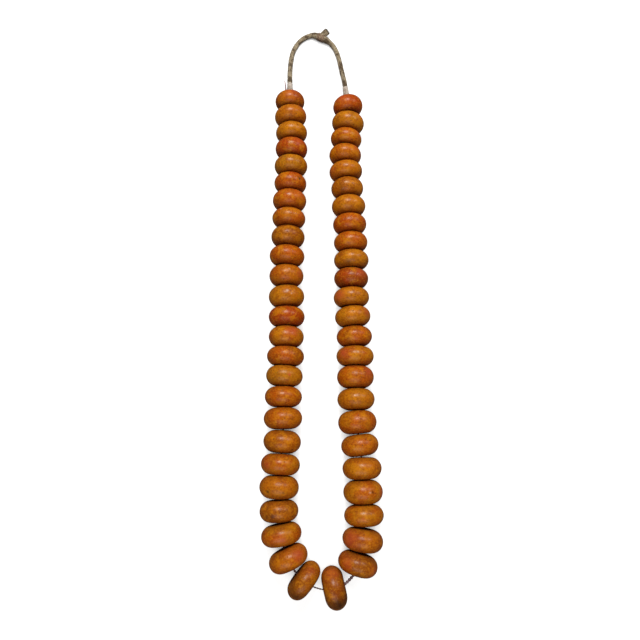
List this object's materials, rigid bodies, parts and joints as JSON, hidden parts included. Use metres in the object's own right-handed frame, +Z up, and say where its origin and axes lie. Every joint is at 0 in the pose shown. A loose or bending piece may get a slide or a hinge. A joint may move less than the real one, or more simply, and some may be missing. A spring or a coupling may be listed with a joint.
{
  "type": "misbaha prayer beads",
  "caption": "Strand of graduated rounded disc beads threaded on a cotton thread and closed by a short wound neck cord with a bound knot.",
  "frame": {"origin": "on the surface that the strand lies on, under the middle of the footprint of the loop of beads, the neck cord left out", "axes": "+Z up from the surface, +Y along the strand towards the neck cord, +X to the right seen from above with the neck at the top"},
  "size_m": [0.0767, 0.4062, 0.0252],
  "materials": {
    "amber_resin": "satin, hand-rubbed, mottled ochre and orange-red",
    "cotton_thread": "twisted, matt",
    "cotton_binding": "wound, matt",
    "wound_cord": "wound, worn and stained"
  },
  "bodies": {
    "string": {"stringing_thread": "cotton_thread", "binding_left": "cotton_binding", "binding_right": "cotton_binding", "neck_cord_left": "wound_cord", "neck_cord_right": "wound_cord", "neck_knot": "wound_cord", "knot_stub": "wound_cord", "thread_tail": "cotton_thread"},
    "bead_bottom": {"bead_bottom": "amber_resin"},
    "bead_left_25": {"bead_left_25": "amber_resin"},
    "bead_left_24": {"bead_left_24": "amber_resin"},
    "bead_left_23": {"bead_left_23": "amber_resin"},
    "bead_left_22": {"bead_left_22": "amber_resin"},
    "bead_left_21": {"bead_left_21": "amber_resin"},
    "bead_left_20": {"bead_left_20": "amber_resin"},
    "bead_left_19": {"bead_left_19": "amber_resin"},
    "bead_left_18": {"bead_left_18": "amber_resin"},
    "bead_left_17": {"bead_left_17": "amber_resin"},
    "bead_left_16": {"bead_left_16": "amber_resin"},
    "bead_left_15": {"bead_left_15": "amber_resin"},
    "bead_left_14": {"bead_left_14": "amber_resin"},
    "bead_left_13": {"bead_left_13": "amber_resin"},
    "bead_left_12": {"bead_left_12": "amber_resin"},
    "bead_left_11": {"bead_left_11": "amber_resin"},
    "bead_left_10": {"bead_left_10": "amber_resin"},
    "bead_left_09": {"bead_left_09": "amber_resin"},
    "bead_left_08": {"bead_left_08": "amber_resin"},
    "bead_left_07": {"bead_left_07": "amber_resin"},
    "bead_left_06": {"bead_left_06": "amber_resin"},
    "bead_left_05": {"bead_left_05": "amber_resin"},
    "bead_left_04": {"bead_left_04": "amber_resin"},
    "bead_left_03": {"bead_left_03": "amber_resin"},
    "bead_left_02": {"bead_left_02": "amber_resin"},
    "bead_left_01": {"bead_left_01": "amber_resin"},
    "bead_right_24": {"bead_right_24": "amber_resin"},
    "bead_right_23": {"bead_right_23": "amber_resin"},
    "bead_right_22": {"bead_right_22": "amber_resin"},
    "bead_right_21": {"bead_right_21": "amber_resin"},
    "bead_right_20": {"bead_right_20": "amber_resin"},
    "bead_right_19": {"bead_right_19": "amber_resin"},
    "bead_right_18": {"bead_right_18": "amber_resin"},
    "bead_right_17": {"bead_right_17": "amber_resin"},
    "bead_right_16": {"bead_right_16": "amber_resin"},
    "bead_right_15": {"bead_right_15": "amber_resin"},
    "bead_right_14": {"bead_right_14": "amber_resin"},
    "bead_right_13": {"bead_right_13": "amber_resin"},
    "bead_right_12": {"bead_right_12": "amber_resin"},
    "bead_right_11": {"bead_right_11": "amber_resin"},
    "bead_right_10": {"bead_right_10": "amber_resin"},
    "bead_right_09": {"bead_right_09": "amber_resin"},
    "bead_right_08": {"bead_right_08": "amber_resin"},
    "bead_right_07": {"bead_right_07": "amber_resin"},
    "bead_right_06": {"bead_right_06": "amber_resin"},
    "bead_right_05": {"bead_right_05": "amber_resin"},
    "bead_right_04": {"bead_right_04": "amber_resin"},
    "bead_right_03": {"bead_right_03": "amber_resin"},
    "bead_right_02": {"bead_right_02": "amber_resin"},
    "bead_right_01": {"bead_right_01": "amber_resin"}
  },
  "joints": [
    {"name": "bead_bottom_turn", "type": "hinge", "parent": "string", "child": "bead_bottom", "pos_m": [0.0085, -0.1592, 0.0125], "axis": [-0.9744, -0.225, 0], "continuous": true},
    {"name": "bead_left_25_turn", "type": "hinge", "parent": "string", "child": "bead_left_25", "pos_m": [-0.00958, -0.15502, 0.01248], "axis": [-0.7771, 0.6293, 0], "continuous": true},
    {"name": "bead_left_24_turn", "type": "hinge", "parent": "string", "child": "bead_left_24", "pos_m": [-0.01908, -0.14287, 0.01223], "axis": [-0.4226, 0.9063, 0], "continuous": true},
    {"name": "bead_left_23_turn", "type": "hinge", "parent": "string", "child": "bead_left_23", "pos_m": [-0.02351, -0.12921, 0.01258], "axis": [-0.1908, 0.9816, 0], "continuous": true},
    {"name": "bead_left_22_turn", "type": "hinge", "parent": "string", "child": "bead_left_22", "pos_m": [-0.02518, -0.11562, 0.01215], "axis": [-0.0523, 0.9986, 0], "continuous": true},
    {"name": "bead_left_21_turn", "type": "hinge", "parent": "string", "child": "bead_left_21", "pos_m": [-0.02531, -0.10159, 0.01227], "axis": [0.0349, 0.9994, 0], "continuous": true},
    {"name": "bead_left_20_turn", "type": "hinge", "parent": "string", "child": "bead_left_20", "pos_m": [-0.02471, -0.08793, 0.01236], "axis": [0.0523, 0.9986, 0], "continuous": true},
    {"name": "bead_left_19_turn", "type": "hinge", "parent": "string", "child": "bead_left_19", "pos_m": [-0.02386, -0.07411, 0.01194], "axis": [0.0698, 0.9976, 0], "continuous": true},
    {"name": "bead_left_18_turn", "type": "hinge", "parent": "string", "child": "bead_left_18", "pos_m": [-0.02348, -0.05965, 0.0123], "axis": [-0.0175, 0.9998, 0], "continuous": true},
    {"name": "bead_left_17_turn", "type": "hinge", "parent": "string", "child": "bead_left_17", "pos_m": [-0.02348, -0.04604, 0.01202], "axis": [0.0175, 0.9998, 0], "continuous": true},
    {"name": "bead_left_16_turn", "type": "hinge", "parent": "string", "child": "bead_left_16", "pos_m": [-0.02302, -0.03261, 0.01191], "axis": [0.0523, 0.9986, 0], "continuous": true},
    {"name": "bead_left_15_turn", "type": "hinge", "parent": "string", "child": "bead_left_15", "pos_m": [-0.02246, -0.01984, 0.01219], "axis": [0.0349, 0.9994, 0], "continuous": true},
    {"name": "bead_left_14_turn", "type": "hinge", "parent": "string", "child": "bead_left_14", "pos_m": [-0.02212, -0.00687, 0.01172], "axis": [0.0175, 0.9998, 0], "continuous": true},
    {"name": "bead_left_13_turn", "type": "hinge", "parent": "string", "child": "bead_left_13", "pos_m": [-0.02206, 0.00657, 0.01196], "axis": [-0.0087, 1, 0], "continuous": true},
    {"name": "bead_left_12_turn", "type": "hinge", "parent": "string", "child": "bead_left_12", "pos_m": [-0.02236, 0.02039, 0.01191], "axis": [-0.0349, 0.9994, 0], "continuous": true},
    {"name": "bead_left_11_turn", "type": "hinge", "parent": "string", "child": "bead_left_11", "pos_m": [-0.02261, 0.03485, 0.01158], "axis": [0, 1, 0], "continuous": true},
    {"name": "bead_left_10_turn", "type": "hinge", "parent": "string", "child": "bead_left_10", "pos_m": [-0.02237, 0.04881, 0.01195], "axis": [0.0349, 0.9994, 0], "continuous": true},
    {"name": "bead_left_09_turn", "type": "hinge", "parent": "string", "child": "bead_left_09", "pos_m": [-0.02191, 0.06271, 0.01157], "axis": [0.032, 0.9995, 0], "continuous": true},
    {"name": "bead_left_08_turn", "type": "hinge", "parent": "string", "child": "bead_left_08", "pos_m": [-0.02149, 0.07627, 0.01159], "axis": [0.0291, 0.9996, 0], "continuous": true},
    {"name": "bead_left_07_turn", "type": "hinge", "parent": "string", "child": "bead_left_07", "pos_m": [-0.02113, 0.08935, 0.01177], "axis": [0.0262, 0.9997, 0], "continuous": true},
    {"name": "bead_left_06_turn", "type": "hinge", "parent": "string", "child": "bead_left_06", "pos_m": [-0.0208, 0.10261, 0.01132], "axis": [0.0233, 0.9997, 0], "continuous": true},
    {"name": "bead_left_05_turn", "type": "hinge", "parent": "string", "child": "bead_left_05", "pos_m": [-0.02052, 0.11568, 0.01164], "axis": [0.0204, 0.9998, 0], "continuous": true},
    {"name": "bead_left_04_turn", "type": "hinge", "parent": "string", "child": "bead_left_04", "pos_m": [-0.02026, 0.12897, 0.01145], "axis": [0.0175, 0.9998, 0], "continuous": true},
    {"name": "bead_left_03_turn", "type": "hinge", "parent": "string", "child": "bead_left_03", "pos_m": [-0.02038, 0.14195, 0.01124], "axis": [-0.0349, 0.9994, 0], "continuous": true},
    {"name": "bead_left_02_turn", "type": "hinge", "parent": "string", "child": "bead_left_02", "pos_m": [-0.02116, 0.15469, 0.01157], "axis": [-0.0872, 0.9962, 0], "continuous": true},
    {"name": "bead_left_01_turn", "type": "hinge", "parent": "string", "child": "bead_left_01", "pos_m": [-0.02183, 0.16756, 0.01075], "axis": [-0.0175, 0.9998, 0], "continuous": true},
    {"name": "bead_right_24_turn", "type": "hinge", "parent": "string", "child": "bead_right_24", "pos_m": [0.02277, -0.14589, 0.01226], "axis": [0.2924, 0.9563, 0], "continuous": true},
    {"name": "bead_right_23_turn", "type": "hinge", "parent": "string", "child": "bead_right_23", "pos_m": [0.02591, -0.13228, 0.01262], "axis": [0.1564, 0.9877, 0], "continuous": true},
    {"name": "bead_right_22_turn", "type": "hinge", "parent": "string", "child": "bead_right_22", "pos_m": [0.0269, -0.11816, 0.01221], "axis": [-0.0175, 0.9998, 0], "continuous": true},
    {"name": "bead_right_21_turn", "type": "hinge", "parent": "string", "child": "bead_right_21", "pos_m": [0.0266, -0.10444, 0.01229], "axis": [-0.0262, 0.9997, 0], "continuous": true},
    {"name": "bead_right_20_turn", "type": "hinge", "parent": "string", "child": "bead_right_20", "pos_m": [0.02617, -0.09033, 0.01241], "axis": [-0.0349, 0.9994, 0], "continuous": true},
    {"name": "bead_right_19_turn", "type": "hinge", "parent": "string", "child": "bead_right_19", "pos_m": [0.02507, -0.07631, 0.01197], "axis": [-0.1219, 0.9925, 0], "continuous": true},
    {"name": "bead_right_18_turn", "type": "hinge", "parent": "string", "child": "bead_right_18", "pos_m": [0.02369, -0.06204, 0.01232], "axis": [-0.0698, 0.9976, 0], "continuous": true},
    {"name": "bead_right_17_turn", "type": "hinge", "parent": "string", "child": "bead_right_17", "pos_m": [0.02306, -0.04757, 0.01208], "axis": [-0.0175, 0.9998, 0], "continuous": true},
    {"name": "bead_right_16_turn", "type": "hinge", "parent": "string", "child": "bead_right_16", "pos_m": [0.02287, -0.03333, 0.01192], "axis": [-0.0087, 1, 0], "continuous": true},
    {"name": "bead_right_15_turn", "type": "hinge", "parent": "string", "child": "bead_right_15", "pos_m": [0.02282, -0.01983, 0.01222], "axis": [0, 1, 0], "continuous": true},
    {"name": "bead_right_14_turn", "type": "hinge", "parent": "string", "child": "bead_right_14", "pos_m": [0.02253, -0.00671, 0.01176], "axis": [-0.0436, 0.999, 0], "continuous": true},
    {"name": "bead_right_13_turn", "type": "hinge", "parent": "string", "child": "bead_right_13", "pos_m": [0.02165, 0.00669, 0.01196], "axis": [-0.0872, 0.9962, 0], "continuous": true},
    {"name": "bead_right_12_turn", "type": "hinge", "parent": "string", "child": "bead_right_12", "pos_m": [0.02091, 0.01978, 0.01195], "axis": [-0.0262, 0.9997, 0], "continuous": true},
    {"name": "bead_right_11_turn", "type": "hinge", "parent": "string", "child": "bead_right_11", "pos_m": [0.02097, 0.03305, 0.01159], "axis": [0.0349, 0.9994, 0], "continuous": true},
    {"name": "bead_right_10_turn", "type": "hinge", "parent": "string", "child": "bead_right_10", "pos_m": [0.02119, 0.04599, 0.01196], "axis": [0, 1, 0], "continuous": true},
    {"name": "bead_right_09_turn", "type": "hinge", "parent": "string", "child": "bead_right_09", "pos_m": [0.02097, 0.05877, 0.0116], "axis": [-0.0349, 0.9994, 0], "continuous": true},
    {"name": "bead_right_08_turn", "type": "hinge", "parent": "string", "child": "bead_right_08", "pos_m": [0.02045, 0.07191, 0.01159], "axis": [-0.0436, 0.999, 0], "continuous": true},
    {"name": "bead_right_07_turn", "type": "hinge", "parent": "string", "child": "bead_right_07", "pos_m": [0.01981, 0.0852, 0.01179], "axis": [-0.0523, 0.9986, 0], "continuous": true},
    {"name": "bead_right_06_turn", "type": "hinge", "parent": "string", "child": "bead_right_06", "pos_m": [0.01904, 0.09877, 0.01133], "axis": [-0.061, 0.9981, 0], "continuous": true},
    {"name": "bead_right_05_turn", "type": "hinge", "parent": "string", "child": "bead_right_05", "pos_m": [0.01821, 0.11153, 0.01163], "axis": [-0.0698, 0.9976, 0], "continuous": true},
    {"name": "bead_right_04_turn", "type": "hinge", "parent": "string", "child": "bead_right_04", "pos_m": [0.01787, 0.12429, 0.01147], "axis": [0.0175, 0.9998, 0], "continuous": true},
    {"name": "bead_right_03_turn", "type": "hinge", "parent": "string", "child": "bead_right_03", "pos_m": [0.01866, 0.13709, 0.01123], "axis": [0.1045, 0.9945, 0], "continuous": true},
    {"name": "bead_right_02_turn", "type": "hinge", "parent": "string", "child": "bead_right_02", "pos_m": [0.02006, 0.14943, 0.01158], "axis": [0.1219, 0.9925, 0], "continuous": true},
    {"name": "bead_right_01_turn", "type": "hinge", "parent": "string", "child": "bead_right_01", "pos_m": [0.02019, 0.1636, 0.01075], "axis": [-0.1045, 0.9945, 0], "continuous": true}
  ]
}
